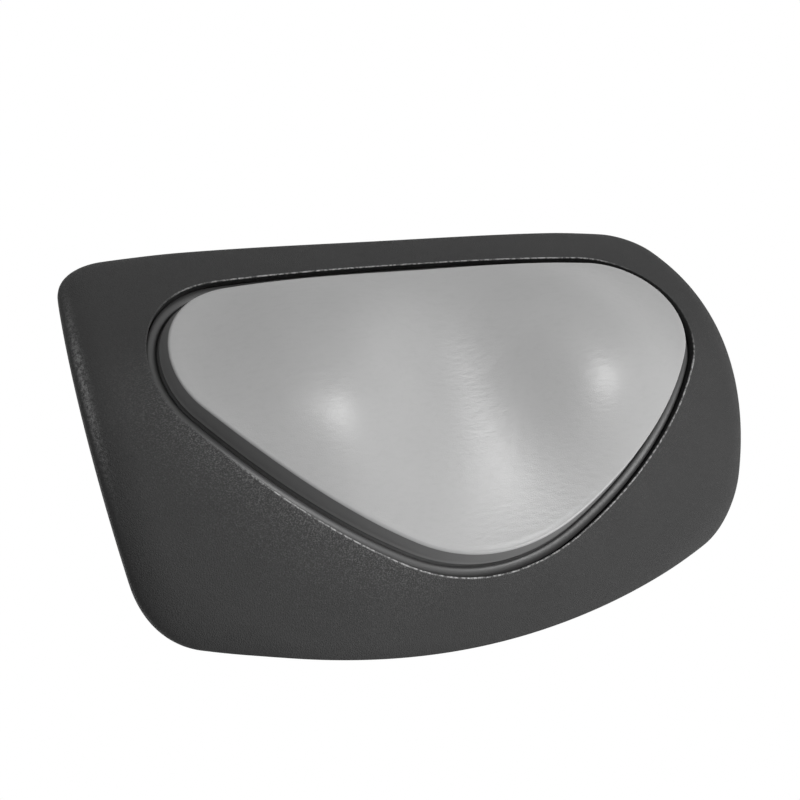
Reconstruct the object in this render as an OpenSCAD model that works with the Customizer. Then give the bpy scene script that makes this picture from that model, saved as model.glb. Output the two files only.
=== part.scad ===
// Chair headrest attachment: a padded head that tilts on a carriage, which slides on a bolted rail.
// X runs to the right, Y back towards the chair and Z up. The origin is the middle of the rail's four
// bolt holes, on the face that meets the chair.

/* [Head outline] */
// Width of the head
head_w = 301; // [280:1:340]
// Top edge above the hinge axis
head_top = 91; // [84:0.5:104]
// Bottom edge below the hinge axis
head_bottom = 96; // [88:0.5:110]
// Radius of the upper corners
upper_corner_r = 23; // [21:1:40]
// Radius of the lower corners
lower_corner_r = 38; // [24:1:46]
// Radius of the almost straight top edge
top_r = 5000; // [1500:100:9000]
// Radius of the bulging sides
side_r = 300; // [240:10:600]
// Height of the widest line above the hinge axis
side_z = 20; // [0:1:30]
// Radius of the bottom edge
bottom_r = 345; // [280:5:600]

/* [Head front] */
// Radius of the bow from top to bottom
bow_r = 100; // [92:1:140]
// How far the two ends lie behind the middle
end_drop = 13.5; // [0:0.5:20]
// How sharply the ends turn back
end_power = 2.8; // [2:0.1:4]
// How far the lower corners are twisted back
corner_twist = 14.5; // [0:0.5:20]
// Width of the rolled edge at the sides
roll_w = 13; // [10:0.5:16]
// Depth of the widest line behind the front at the sides
roll_t = 7; // [5:0.5:9]
// Width of the tighter edge at the top and bottom
edge_roll_w = 4.5; // [3:0.5:8]
// Depth of the tighter edge behind the front
edge_roll_t = 3; // [2:0.5:5]

/* [Head layers] */
// Foam in front of the core plate
foam_t = 16; // [15:0.5:20]
// Thickness of the core plate
core_t = 3; // [2.5:0.25:4]
// Hollow behind the core plate, with the rear shell's wall
hollow_d = 11.4; // [11:0.2:18]
// Foam border round the rear shell
border_w = 13; // [11:0.5:15]
// Wall of the rear shell
shell_wall = 3; // [2.5:0.25:3.5]
// Wall of the rear shell at its rim
rim_wall = 1.5; // [1.4:0.1:2.4]
// Gap between the head's pieces
seat_gap = 0.4; // [0.3:0.05:0.6]

/* [Cushion] */
// Width of the cushion
cushion_w = 237; // [210:1:246]
// Cushion's top edge above the hinge axis
cushion_top = 59.6; // [54:0.2:64]
// Cushion's tip below the hinge axis
cushion_bottom = 66; // [60:0.5:70]
// Radius of the cushion's top edge
cushion_top_r = 1400; // [800:50:3000]
// Radius of the cushion's two shoulders
shoulder_r = 33.5; // [24:0.5:40]
// Radius of the cushion's slanting sides
slant_r = 205; // [165:1:260]
// Radius of the cushion's tip
tip_r = 87; // [55:1:95]
// Height of the cushion's edge above the foam
cushion_rise = 3; // [2.6:0.2:5]
// Radius of the cushion's rounded edge
cushion_edge_r = 1; // [0.75:0.25:2]
// Spread of the cushion's side at its skirt
flare_w = 1.7; // [1:0.1:2]
// Depth of the cushion's skirt below the front
flare_depth = 3.8; // [2.5:0.1:4.5]
// Depth of the cushion's dish below its edge
dish_h = 14.6; // [6:0.2:15]
// Height of the two lobes in the dish
lobe_h = 17; // [4:0.5:20]
// Distance of each lobe from the middle
lobe_x = 64.5; // [56:0.5:76]
// Height of the lobes above the hinge axis
lobe_rise = 14; // [0:1:18]
// Spread of each lobe across
lobe_rx = 31; // [20:1:36]
// Spread of each lobe along its slant
lobe_rz = 47.5; // [30:0.5:52]
// Slant of each lobe, its upper end towards the middle
lobe_slant = 22; // [0:1:40]
// How flat the lobes' tops are
lobe_power = 2.4; // [2:0.1:3]
// Share of the lobes that is gone at the edge
edge_fade = 0.88; // [0.7:0.02:1]

/* [Groove] */
// Open groove between the cushion's outline and the bead
groove_w = 2.5; // [2.3:0.1:3]
// Width of the bead
bead_w = 3.7; // [2.8:0.1:4]
// Thickness of the bead
bead_h = 1.8; // [1.4:0.1:2.2]
// Gap between the bead and the foam lip
lip_gap = 0.7; // [0.6:0.1:1.4]
// Depth of the bead's ledge below the front
ledge_depth = 6.2; // [6:0.1:8]
// Thickness of the tray's floor
tray_t = 2; // [1.75:0.25:2.25]

/* [Hinge] */
// Diameter of the hinge bolt
pivot_d = 8; // [6:0.5:10]
// Outer diameter of the hinge bushes
bush_d = 12; // [11:0.5:13]
// Length of each bush
bush_l = 9; // [6:0.5:10]
// Flange of each bush
bush_flange_t = 1.5; // [1:0.25:2]
// Diameter of the hinge washers and flanges
washer_d = 18; // [16:0.5:20]
// Thickness of a friction washer
washer_t = 1.5; // [1:0.25:2.5]
// Width of the knuckle
knuckle_w = 22; // [20:1:26]
// Radius of the knuckle and of the fork's ends
boss_r = 10; // [9:0.5:11]
// Length of the knuckle's neck
neck_l = 21; // [19:0.5:26]
// Thickness of the knuckle's foot
foot_t = 5; // [4:0.5:7]
// Sheet thickness of the fork bracket
bracket_t = 3; // [2.5:0.25:4]
// Width of the fork bracket
bracket_w = 64; // [60:1:72]
// Height of the fork bracket
bracket_h = 44; // [40:1:48]
// Reach of the fork to the hinge axis
fork_reach = 14; // [13:0.5:18]
// Height of the bracket's seat on the rear shell
seat_rise = 2.5; // [2.5:0.25:4]

/* [Rail and carriage] */
// Width of the rail's flange
rail_w = 44; // [40:1:50]
// Thickness of the rail's flange
rail_flange_t = 4; // [3:0.5:5]
// Width of the rail's stem
stem_w = 30; // [28:1:34]
// Height of the rail's stem
stem_t = 10; // [9:0.5:12]
// Travel of the carriage
travel = 36; // [20:1:40]
// Height of the carriage
carriage_h = 46; // [44:1:56]
// Side wall of the carriage
carriage_side = 7.8; // [6.6:0.2:12]
// Front wall of the carriage
carriage_wall = 8; // [7:0.5:12]
// Wall of the glide liners
liner_t = 2; // [1.5:0.25:2.5]
// Running gap of the slide
slide_gap = 0.2; // [0.15:0.05:0.3]
// Across spacing of the bolt holes
bolt_x = 18; // [16:0.5:20]
// Upright spacing of the bolt holes
bolt_z = 56; // [44:1:60]
// Diameter of the bolt holes
bolt_d = 5.5; // [4.5:0.1:6]
// Thickness of the rail's end caps
cap_t = 4; // [3:0.5:6]

/* [Height clamp] */
// Diameter of the clamp's spindle
spindle_d = 6; // [5:0.5:6.5]
// Diameter of the hand knob
knob_d = 20; // [16:0.5:20]
// Thickness of the hand knob
knob_t = 14; // [12:0.5:18]

/* [Hidden] */
$fn = 64;

// Clearances and overruns
fit = 0.05;
run_gap = 0.1;
screw_clear = 0.5;
core_gap = 0.6;
cut = 1;

// Rail and carriage, measured from the chair
chair_gap = 3;
stop_gap = 1;
stem_clear = 1;
rail_t = stem_t + rail_flange_t;
rail_l = carriage_h + travel + 2 * stop_gap;
slide_z = stop_gap + carriage_h / 2 - rail_l / 2;
channel_w = rail_w + 2 * (slide_gap + liner_t);
channel_front = rail_t + slide_gap + liner_t;
channel_back = stem_t - slide_gap - liner_t;
carriage_w = channel_w + 2 * carriage_side;
carriage_front = channel_front + carriage_wall;
carriage_corner_r = 6;
liner_reach = stem_w / 2 + stem_clear + 0.5;
countersink_d = bolt_d + 5;

// End caps and their screws
cap_lip = 6;
cap_front = rail_t + 5;
cap_corner_r = 4;
cap_screw_d = 4;
cap_screw_l = 14;
cap_screw_y = -rail_t / 2;

// Clamp, whose axis meets the edge of the rail's flange
clamp_y = -(stem_t + rail_flange_t / 2);
clamp_pad_l = 3.5;
clamp_tip_d = spindle_d - 2.5;
clamp_tip_l = 2;
nut_bush_d = spindle_d + 4;
nut_flange_d = nut_bush_d + 4;
nut_flange_t = 1.5;
clamp_x = rail_w / 2;
spindle_x = clamp_x + clamp_pad_l + fit;
knob_x = carriage_w / 2 + nut_flange_t + 1.5;
knob_bore_l = knob_t - 3;
knob_round_r = 2.5;
scallops = 6;
scallop_d = 7;

// Hinge, whose axis lies in front of the carriage
pivot_y = -(carriage_front + foot_t + neck_l);
pivot_z = slide_z;
foot_w = 44;
foot_h = 36;
foot_corner_r = 5;
neck_foot_h = 30;
neck_boss_h = 16;
ear_x = knuckle_w / 2 + bush_flange_t + run_gap + washer_t;
fork_x = ear_x + bracket_t;
bracket_corner_r = 5;
bracket_hole_x = bracket_w / 2 - 8;
bracket_hole_z = bracket_h / 2 - 8;
bolt_head_d = pivot_d + 6;
bolt_head_h = 5;
disc_t = 1;
disc_cone = 0.6;
disc_gap = fit;
disc_l = 2 * (disc_t + disc_cone) + 3 * disc_gap;
nut_af = pivot_d + 5;
nut_l = 6.5;
nut_collar_l = 1.5;
shaft_end = fork_x + disc_l + nut_l + nut_collar_l + 1;

// Screws and threaded inserts
knuckle_screw_d = 4;
knuckle_screw_x = 16;
knuckle_screw_z = 12;
knuckle_screw_grip = carriage_wall - 1.5;
bracket_screw_d = 5;
bracket_screw_grip = 7;
insert_d = 7;
insert_l = 8;
shell_screw_d = 3.5;
shell_screw_turns = [68, 112, 248, 292];
shell_screw_share = 0.56;
shell_boss_d = 10;
shell_boss_l = 3;
shell_ledge_t = 1.5;

// Head, whose layers lie behind each other and whose front is placed by the hinge
core_front = foam_t + core_gap;
core_back = core_front + core_t;
core_inset = border_w + 6;
core_boss_d = 13;
head_t = core_back + hollow_d;
edge_t = core_back + seat_gap + rim_wall;
seat_y = pivot_y - fork_reach - bracket_t;
front_y = seat_y - head_t - seat_rise;
seat_front = head_t - shell_wall - 0.5;
seat_margin = 3;
skirt_w = 2.5;
lip_r = 0.5;
lip_depth = 0.6;
flare_t = 1;
insert_end = seat_front - seat_gap;
post_x = 58;
post_z = 20;
post_d = 6;
post_l = 9;
post_rise = 2.6;
post_seat = core_back + post_rise;
push_nut_d = 13;
push_nut_t = 1.2;
opening_w = groove_w + bead_w + lip_gap;
tray_inner_w = 0.6;
bead_depth = ledge_depth - seat_gap - bead_h / 2;
bead_sides = 8;

// Outlines are made of arcs, listed clockwise from the top for the right half only
function meet(a, ra, b, rb, side) =
    let (d = b - a, l = norm(d), e = d / l)
    let (t = (ra * ra - rb * rb + l * l) / (2 * l))
    a + t * e + side * sqrt(ra * ra - t * t) * [-e[1], e[0]];
function bearing(from, to) = atan2(to[1] - from[1], to[0] - from[0]);

top_c = [0, head_top - top_r];
side_c = [head_w / 2 - side_r, side_z];
bottom_c = [0, bottom_r - head_bottom];
upper_c = meet(top_c, top_r - upper_corner_r, side_c, side_r - upper_corner_r, -1);
lower_c = meet(side_c, side_r - lower_corner_r, bottom_c, bottom_r - lower_corner_r, -1);
head_arcs = [
    [top_c, top_r, 90, bearing(top_c, upper_c)],
    [upper_c, upper_corner_r, bearing(top_c, upper_c), bearing(side_c, upper_c)],
    [side_c, side_r, bearing(side_c, upper_c), bearing(side_c, lower_c)],
    [lower_c, lower_corner_r, bearing(side_c, lower_c), bearing(bottom_c, lower_c)],
    [bottom_c, bottom_r, bearing(bottom_c, lower_c), -90]
];

cushion_top_c = [0, cushion_top - cushion_top_r];
shoulder_x = cushion_w / 2 - shoulder_r;
shoulder_z = cushion_top_c[1] + sqrt(pow(cushion_top_r - shoulder_r, 2) - shoulder_x * shoulder_x);
shoulder_c = [shoulder_x, shoulder_z];
tip_c = [0, tip_r - cushion_bottom];
slant_c = meet(tip_c, slant_r - tip_r, shoulder_c, slant_r - shoulder_r, 1);
cushion_arcs = [
    [cushion_top_c, cushion_top_r, 90, bearing(cushion_top_c, shoulder_c)],
    [shoulder_c, shoulder_r, bearing(cushion_top_c, shoulder_c), bearing(slant_c, shoulder_c)],
    [slant_c, slant_r, bearing(slant_c, shoulder_c), bearing(slant_c, tip_c)],
    [tip_c, tip_r, bearing(slant_c, tip_c), -90]
];

// Points of one arc moved outwards by a distance, and the polar table of a whole outline
function arc_points(arc, out, n) =
    [for (i = [0:n - 1])
        let (a = arc[2] + (arc[3] - arc[2]) * i / n)
        arc[0] + (arc[1] + out) * [cos(a), sin(a)]];
function end_point(arc, out) = arc[0] + (arc[1] + out) * [cos(arc[3]), sin(arc[3])];
function compass(p) = atan2(p[0], p[1]);
function polar(arcs, out) =
    let (points = [for (arc = arcs) each arc_points(arc, out, 24), end_point(arcs[len(arcs) - 1], out)])
    [for (p = points) [compass(p), norm(p)]];

// Directions of the loft's points, closest at the head's corners
arc_steps = [6, 6, 12, 6, 9];
right_turns = [for (k = [0:len(head_arcs) - 1]) each
    [for (p = arc_points(head_arcs[k], 0, arc_steps[k])) compass(p)]];
left_turns = [for (i = [len(right_turns) - 1:-1:1]) 360 - right_turns[i]];
turns = concat(right_turns, [180], left_turns);
coarse_turns = [for (i = [0:2:len(turns) - 1]) turns[i]];

// Radii of an outline along the directions
function radii(arcs, out, dirs = turns) =
    let (table = polar(arcs, out))
    [for (t = dirs) lookup(min(t, 360 - t), table)];

// Depth of the head's front behind its foremost point
function front_depth(x, z) =
    let (u = 2 * abs(x) / head_w, v = 2 * z / head_w)
    z * z / (2 * bow_r) + end_drop * pow(u, end_power) - corner_twist * u * u * v;

// A closed loop at the given radii, one depth or a list of depths behind the front
function pick(v, i) = is_list(v) ? v[i] : v;
function loop(r, depth, dirs = turns) =
    [for (i = [0:len(dirs) - 1])
        let (x = r[i] * sin(dirs[i]), z = r[i] * cos(dirs[i]))
        [x, front_depth(x, z) + pick(depth, i), z]];

// Values that pass from the top and bottom to the sides round the head's corners
function ease(t) = t * t * (3 - 2 * t);
side_share = [for (t = turns) ease(min(max((abs(sin(t)) - 0.72) / 0.2, 0), 1))];
function between(ends, sides) =
    [for (i = [0:len(turns) - 1]) pick(ends, i) * (1 - side_share[i]) + pick(sides, i) * side_share[i]];

// Loop on the head's edge, from an inset and a depth at the top and bottom and at the sides
function rim_radii(ends, sides) = between(radii(head_arcs, -ends), radii(head_arcs, -sides));
function rim_loop(ends, sides) = loop(rim_radii(ends[0], sides[0]), between(ends[1], sides[1]));

// Height of the cushion above the front at a share of its radius
function bell(a, b) = exp(-(pow(abs(a) / lobe_rx, lobe_power) + pow(abs(b) / lobe_rz, lobe_power)) / 2);
function lobe(u, v) =
    bell(u * cos(lobe_slant) + v * sin(lobe_slant), v * cos(lobe_slant) - u * sin(lobe_slant));
function relief(x, z) =
    lobe_h * (lobe(x - lobe_x, z - lobe_rise) + lobe(-x - lobe_x, z - lobe_rise));
function cushion_height(x, z, share) =
    let (fade = 1 - edge_fade * pow(share, 4))
    cushion_rise - dish_h * (1 - share * share) + relief(x, z) * fade;
function cushion_loop(share) =
    let (r = radii(cushion_arcs, 0) * share)
    [for (i = [0:len(turns) - 1])
        let (x = r[i] * sin(turns[i]), z = r[i] * cos(turns[i]))
        [x, front_depth(x, z) - cushion_height(x, z, share), z]];

// Thickness of the head behind its front at a share of the rear shell's radius
function shell_depth(share) = head_t - (head_t - edge_t) * share * share;
shell_inset = border_w + seat_gap;
shell_table = polar(head_arcs, -shell_inset);
shell_boss_depth = shell_depth(shell_screw_share) - shell_wall - shell_boss_l;
shell_screw_seat = shell_boss_depth + shell_ledge_t;

// Triangles between consecutive loops of n points that start at a given index
function strip(a, b, n) =
    [for (i = [0:n - 1]) let (j = (i + 1) % n) each [[a + i, b + i, b + j], [a + i, b + j, a + j]]];

// Solid ring through loops that close on themselves
module ring_solid(loops) {
    n = len(loops[0]);
    m = len(loops);
    polyhedron(
        points = [for (l = loops) each l],
        faces = [for (k = [0:m - 1]) each strip(k * n, ((k + 1) % m) * n, n)]
    );
}

// Solid dish from a front point through loops to a back point
module dish_solid(front, loops, back) {
    n = len(loops[0]);
    m = len(loops);
    last = 1 + m * n;
    polyhedron(
        points = [front, for (l = loops) each l, back],
        faces = concat(
            [for (i = [0:n - 1]) [0, 1 + i, 1 + (i + 1) % n]],
            [for (k = [0:m - 2]) each strip(1 + k * n, 1 + (k + 1) * n, n)],
            [for (i = [0:n - 1]) [last, last - n + (i + 1) % n, last - n + i]]
        )
    );
}

// Bars along the three axes, by diameter and ends
module rod_x(d, x0, x1) translate([x0, 0, 0]) rotate([0, 90, 0]) cylinder(d = d, h = x1 - x0);
module rod_y(d, y0, y1) translate([0, y0, 0]) rotate([-90, 0, 0]) cylinder(d = d, h = y1 - y0);
module rod_z(d, z0, z1) translate([0, 0, z0]) cylinder(d = d, h = z1 - z0);

// Flat rectangle with round corners
module round_rect(w, h, r) {
    square([w, h - 2 * r], center = true);
    square([w - 2 * r, h], center = true);
    for (x = [-1, 1], y = [-1, 1]) translate([x * (w / 2 - r), y * (h / 2 - r)]) circle(r);
}

// Plate across Y, and a profile in Y and Z drawn out along X
module plate_y(w, h, r, y0, y1) {
    translate([0, y1, 0]) rotate([90, 0, 0]) linear_extrude(y1 - y0) round_rect(w, h, r);
}
module prism_x(x0, x1) {
    translate([x0, 0, 0]) rotate([90, 0, 90]) linear_extrude(x1 - x0) children();
}

// Socket screw with its head below zero and its shank along Z
module screw(d, l) {
    head_h = 0.65 * d;
    socket_d = d;
    difference() {
        union() {
            rod_z(d, 0, l);
            rod_z(1.8 * d, -head_h, 0);
        }
        translate([0, 0, -head_h - cut]) cylinder(d = socket_d, h = cut + head_h / 2, $fn = 6);
    }
}

// Places shared by the pieces that fit together
module at_head() translate([0, front_y, pivot_z]) children();
module at_pivot() translate([0, pivot_y, pivot_z]) children();
module at_four(x, z) for (i = [-1, 1], j = [-1, 1]) translate([i * x, 0, j * z]) children();
module at_sides() for (i = [0, 1]) mirror([i, 0, 0]) children();

// Rolled edge in shares of its width and depth
roll_profile = [[0.42, 0.16], [0.13, 0.5], [0, 1]];
// Border behind it in shares of its own width and of the edge's depth: at the top and bottom, at the sides
border_profile = [
    [[0.3, 0.45], [0.1, 0.6]],
    [[0.65, 0.75], [0.38, 0.88]]
];

function share_of(p, size) = [p[0] * size[0], p[1] * size[1]];

// Head
module pad_surround() {
    lip = radii(cushion_arcs, opening_w + lip_r);
    wall = radii(cushion_arcs, opening_w);
    plain = rim_radii(edge_roll_w, roll_w);
    rear = radii(head_arcs, -border_w);
    roll = [edge_roll_w, edge_roll_t];
    side_roll = [roll_w, roll_t];
    border = [border_w, edge_t];
    color("#3c3d3e") at_head() ring_solid([
        loop(wall, foam_t),
        loop(wall, lip_depth),
        loop(lip, 0),
        loop(lip * 0.5 + plain * 0.5, 0),
        loop(plain, 0),
        for (p = roll_profile) rim_loop(share_of(p, roll), share_of(p, side_roll)),
        for (p = border_profile) rim_loop(share_of(p[0], border), share_of(p[1], border)),
        loop(rear, edge_t),
        loop(rear, foam_t),
        for (f = [0.25:0.25:0.75]) loop(rear * (1 - f) + wall * f, foam_t)
    ]);
}

// Loop on the cushion's rounded edge, turned down from its top
function round_loop(turn) =
    let (r = radii(cushion_arcs, cushion_edge_r * (sin(turn) - 1)))
    [for (i = [0:len(turns) - 1])
        let (x = r[i] * sin(turns[i]), z = r[i] * cos(turns[i]))
        let (sink = cushion_edge_r * (1 - cos(turn)) - cushion_height(x, z, 1))
        [x, front_depth(x, z) + sink, z]];

module cushion_insert() {
    edge = radii(cushion_arcs, 0);
    flare = radii(cushion_arcs, flare_w);
    back = foam_t - tray_t - seat_gap;
    color("#a9aaab") at_head() dish_solid(
        [0, -cushion_height(0, 0, 0), 0],
        concat(
            [for (share = [0.14:0.14:0.85]) cushion_loop(share)],
            [
                cushion_loop(0.93),
                for (turn = [0:30:90]) round_loop(turn),
                loop(flare, flare_depth),
                loop(edge, flare_depth + flare_t),
                loop(edge, back),
                loop(edge * 0.67, back),
                loop(edge * 0.33, back)
            ]
        ),
        [0, back, 0]
    );
}

module welt_bead() {
    color("#303132") at_head() ring_solid([
        for (k = [0:bead_sides - 1])
            let (a = -360 * k / bead_sides, mid = groove_w + bead_w / 2)
            loop(radii(cushion_arcs, mid - bead_w / 2 * cos(a)), bead_depth + bead_h / 2 * sin(a))
    ]);
}

module insert_tray() {
    inner = radii(cushion_arcs, tray_inner_w);
    outer = radii(cushion_arcs, opening_w - seat_gap);
    floor_depth = foam_t - tray_t;
    color("#262728") at_head() {
        dish_solid(
            [0, floor_depth, 0],
            [
                loop(inner * 0.33, floor_depth),
                loop(inner * 0.67, floor_depth),
                loop(inner, floor_depth),
                loop(inner, ledge_depth),
                loop(outer, ledge_depth),
                for (share = [1:-0.2:0.2]) loop(outer * share, foam_t)
            ],
            [0, foam_t, 0]
        );
        at_posts() rod_y(post_d, foam_t - tray_t / 2, foam_t + post_l);
    }
}

// Posts of the tray, each at the depth of the front there
module at_posts() {
    for (i = [-1, 1], j = [-1, 1])
        translate([i * post_x, front_depth(post_x, j * post_z), j * post_z]) children();
}

module push_nuts() {
    color("#b9bcc0") at_head() at_posts() difference() {
        rod_y(push_nut_d, post_seat, post_seat + push_nut_t);
        rod_y(post_d + 2 * fit, post_seat - cut, post_seat + push_nut_t + cut);
    }
}

module core_plate() {
    rim = radii(head_arcs, -core_inset, coarse_turns);
    mid = core_front + core_t / 2;
    color("#55585b") at_head() difference() {
        union() {
            dish_solid(
                [0, core_front, 0],
                [
                    for (share = [0.2:0.2:1]) loop(rim * share, core_front, coarse_turns),
                    for (share = [1:-0.125:0.125]) loop(rim * share, core_back, coarse_turns)
                ],
                [0, core_back, 0]
            );
            at_posts() rod_y(push_nut_d + 1, mid, post_seat);
            at_four(bracket_hole_x, bracket_hole_z) rod_y(core_boss_d, mid + 1, insert_end);
            at_shell_screws() rod_y(shell_boss_d, mid, shell_boss_depth - seat_gap);
        }
        at_posts() rod_y(post_d + screw_clear, 0, post_seat + cut);
        at_four(bracket_hole_x, bracket_hole_z)
            rod_y(insert_d + 2 * fit, insert_end - insert_l, insert_end + cut);
        at_shell_screws() rod_y(shell_screw_d + 2 * fit, core_front + 1, shell_boss_depth);
    }
}

// Screws of the rear shell, each at the depth of the front there
module at_shell_screws() {
    for (t = shell_screw_turns) {
        r = shell_screw_share * lookup(min(t, 360 - t), shell_table);
        translate([r * sin(t), front_depth(r * sin(t), r * cos(t)), r * cos(t)]) children();
    }
}

module threaded_inserts() {
    color("#b9975a") at_head() at_four(bracket_hole_x, bracket_hole_z) difference() {
        rod_y(insert_d, insert_end - insert_l, insert_end);
        rod_y(bracket_screw_d + 2 * fit, insert_end - insert_l - cut, insert_end + cut);
    }
}

module rear_shell() {
    r = radii(head_arcs, -shell_inset);
    skirt = radii(head_arcs, -shell_inset - skirt_w);
    skirt_end = core_back + seat_gap;
    outer_shares = [1, 0.92, 0.75, 0.5, 0.25];
    inner_shares = [0.25, 0.5, 0.75];
    color("#2b2c2e") at_head() difference() {
        union() {
            dish_solid(
                [0, head_t - shell_wall, 0],
                concat(
                    [for (share = inner_shares) loop(r * share, shell_depth(share) - shell_wall)],
                    [loop(skirt, skirt_end), loop(skirt, core_front), loop(r, core_front)],
                    [for (share = outer_shares) loop(r * share, shell_depth(share))]
                ),
                [0, head_t, 0]
            );
            plate_y(
                bracket_w + 2 * seat_margin, bracket_h + 2 * seat_margin, bracket_corner_r + seat_margin,
                seat_front, head_t + seat_rise
            );
            at_shell_screws() rod_y(shell_boss_d, shell_boss_depth, shell_boss_depth + shell_boss_l + 1);
        }
        at_four(bracket_hole_x, bracket_hole_z)
            rod_y(bracket_screw_d + screw_clear, seat_front - cut, head_t + seat_rise + cut);
        at_shell_screws() rod_y(shell_screw_d + screw_clear, shell_boss_depth - cut, head_t);
        at_shell_screws() rod_y(2 * shell_screw_d + screw_clear, shell_screw_seat, head_t + shell_boss_l);
    }
}

module shell_screws() {
    color("#6f7276") at_head() at_shell_screws() translate([0, shell_screw_seat, 0])
        rotate([90, 0, 0]) screw(shell_screw_d, shell_screw_seat - core_front - 2);
}

module hinge_bracket() {
    color("#1d1e20") difference() {
        union() {
            translate([0, 0, pivot_z])
                plate_y(bracket_w, bracket_h, bracket_corner_r, seat_y, seat_y + bracket_t);
            at_sides() at_pivot() prism_x(ear_x, fork_x) {
                circle(boss_r);
                translate([-fork_reach - bracket_t / 2, -boss_r])
                    square([fork_reach + bracket_t / 2, 2 * boss_r]);
            }
        }
        at_pivot() rod_x(pivot_d + 2 * fit, -fork_x - cut, fork_x + cut);
        translate([0, seat_y, pivot_z]) at_four(bracket_hole_x, bracket_hole_z)
            rod_y(bracket_screw_d + screw_clear, -cut, bracket_t + cut);
    }
}

module bracket_screws() {
    grip = bracket_t + seat_rise + head_t - seat_front + seat_gap + bracket_screw_grip;
    color("#74777b") translate([0, seat_y + bracket_t, pivot_z]) at_four(bracket_hole_x, bracket_hole_z)
        rotate([90, 0, 0]) screw(bracket_screw_d, grip);
}

module pivot_shaft() {
    color("#85898d") at_pivot() difference() {
        union() {
            rod_x(pivot_d, -fork_x, shaft_end);
            rod_x(bolt_head_d, -fork_x - bolt_head_h, -fork_x);
        }
        translate([-fork_x - bolt_head_h - cut, 0, 0]) rotate([0, 90, 0])
            cylinder(d = 0.8 * pivot_d, h = cut + bolt_head_h / 2, $fn = 6);
    }
}

module friction_washers() {
    color("#6b5a45") at_sides() at_pivot() difference() {
        rod_x(washer_d, ear_x - washer_t, ear_x);
        rod_x(pivot_d + 4 * fit, ear_x - washer_t - cut, ear_x + cut);
    }
}

// Two cone washers, set rim to rim
module disc_springs() {
    color("#4d4f52") at_pivot() {
        translate([fork_x + disc_gap, 0, 0]) disc_spring();
        translate([fork_x + disc_l - disc_gap, 0, 0]) mirror([1, 0, 0]) disc_spring();
    }
}

module disc_spring() {
    inner_r = pivot_d / 2 + 4 * fit;
    outer_r = washer_d / 2;
    rotate([0, 90, 0]) rotate_extrude()
        polygon([[inner_r, 0], [inner_r, disc_t], [outer_r, disc_t + disc_cone], [outer_r, disc_cone]]);
}

module lock_nut() {
    nut_x = fork_x + disc_l;
    color("#85898d") at_pivot() difference() {
        union() {
            translate([nut_x, 0, 0]) rotate([0, 90, 0]) cylinder(d = nut_af / cos(30), h = nut_l, $fn = 6);
            rod_x(nut_af - 1.5, nut_x + nut_l - fit, nut_x + nut_l + nut_collar_l);
        }
        rod_x(pivot_d + 2 * fit, nut_x - cut, nut_x + nut_l + nut_collar_l + cut);
    }
}

// Carriage
module carriage() {
    depth = carriage_front - chair_gap;
    color("#303134") difference() {
        translate([0, 0, slide_z - carriage_h / 2]) linear_extrude(carriage_h) difference() {
            translate([0, -chair_gap - depth / 2]) round_rect(carriage_w, depth, carriage_corner_r);
            translate([-channel_w / 2, -channel_front]) square([channel_w, channel_front - channel_back]);
            translate([-stem_w / 2 - stem_clear, -stem_t]) square([stem_w + 2 * stem_clear, stem_t]);
        }
        translate([0, -carriage_front, slide_z]) at_four(knuckle_screw_x, knuckle_screw_z)
            rod_y(knuckle_screw_d + 2 * fit, -cut, carriage_wall - 1);
        at_clamp() rod_x(nut_bush_d + 2 * fit, channel_w / 2 - cut, carriage_w / 2 + cut);
    }
}

module at_clamp() translate([0, clamp_y, slide_z]) children();

module glide_liners() {
    color("#d9d7cf") difference() {
        at_sides() translate([0, 0, slide_z - carriage_h / 2]) linear_extrude(carriage_h) difference() {
            translate([liner_reach, -channel_front])
                square([channel_w / 2 - liner_reach, channel_front - channel_back]);
            translate([0, -rail_t - slide_gap])
                square([rail_w / 2 + slide_gap, rail_flange_t + 2 * slide_gap]);
        }
        at_clamp() rod_x(spindle_d + 4 * fit, rail_w / 2, channel_w / 2 + cut);
    }
}

module tilt_knuckle() {
    foot_front = -(carriage_front + foot_t);
    color("#8b8e92") difference() {
        union() {
            translate([0, 0, slide_z]) plate_y(foot_w, foot_h, foot_corner_r, foot_front, -carriage_front);
            at_pivot() prism_x(-knuckle_w / 2, knuckle_w / 2) {
                circle(boss_r);
                polygon([
                    [0, -neck_boss_h / 2], [neck_l + cut, -neck_foot_h / 2],
                    [neck_l + cut, neck_foot_h / 2], [0, neck_boss_h / 2]
                ]);
            }
        }
        at_pivot() rod_x(bush_d + 2 * fit, -knuckle_w, knuckle_w);
        translate([0, foot_front, slide_z]) at_four(knuckle_screw_x, knuckle_screw_z)
            rod_y(knuckle_screw_d + screw_clear, -cut, foot_t + cut);
    }
}

module knuckle_screws() {
    color("#74777b") translate([0, -carriage_front - foot_t, slide_z])
        at_four(knuckle_screw_x, knuckle_screw_z)
            rotate([-90, 0, 0]) screw(knuckle_screw_d, foot_t + knuckle_screw_grip);
}

module knuckle_bushes() {
    face = knuckle_w / 2;
    color("#c9c5b5") at_sides() at_pivot() difference() {
        union() {
            rod_x(bush_d, face - bush_l, face);
            rod_x(washer_d, face, face + bush_flange_t);
        }
        rod_x(pivot_d + 2 * fit, 0, face + bush_flange_t + cut);
    }
}

module nut_bush() {
    color("#b9975a") at_clamp() difference() {
        union() {
            rod_x(nut_bush_d, channel_w / 2, carriage_w / 2);
            rod_x(nut_flange_d, carriage_w / 2, carriage_w / 2 + nut_flange_t);
        }
        rod_x(spindle_d + 2 * fit, channel_w / 2 - cut, carriage_w / 2 + nut_flange_t + cut);
    }
}

// Clamp
module clamp_pad() {
    color("#b9975a") at_clamp() difference() {
        rod_x(spindle_d, clamp_x, clamp_x + clamp_pad_l);
        rod_x(clamp_tip_d + 2 * fit, clamp_x + clamp_pad_l - clamp_tip_l - fit, clamp_x + clamp_pad_l + cut);
    }
}

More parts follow.
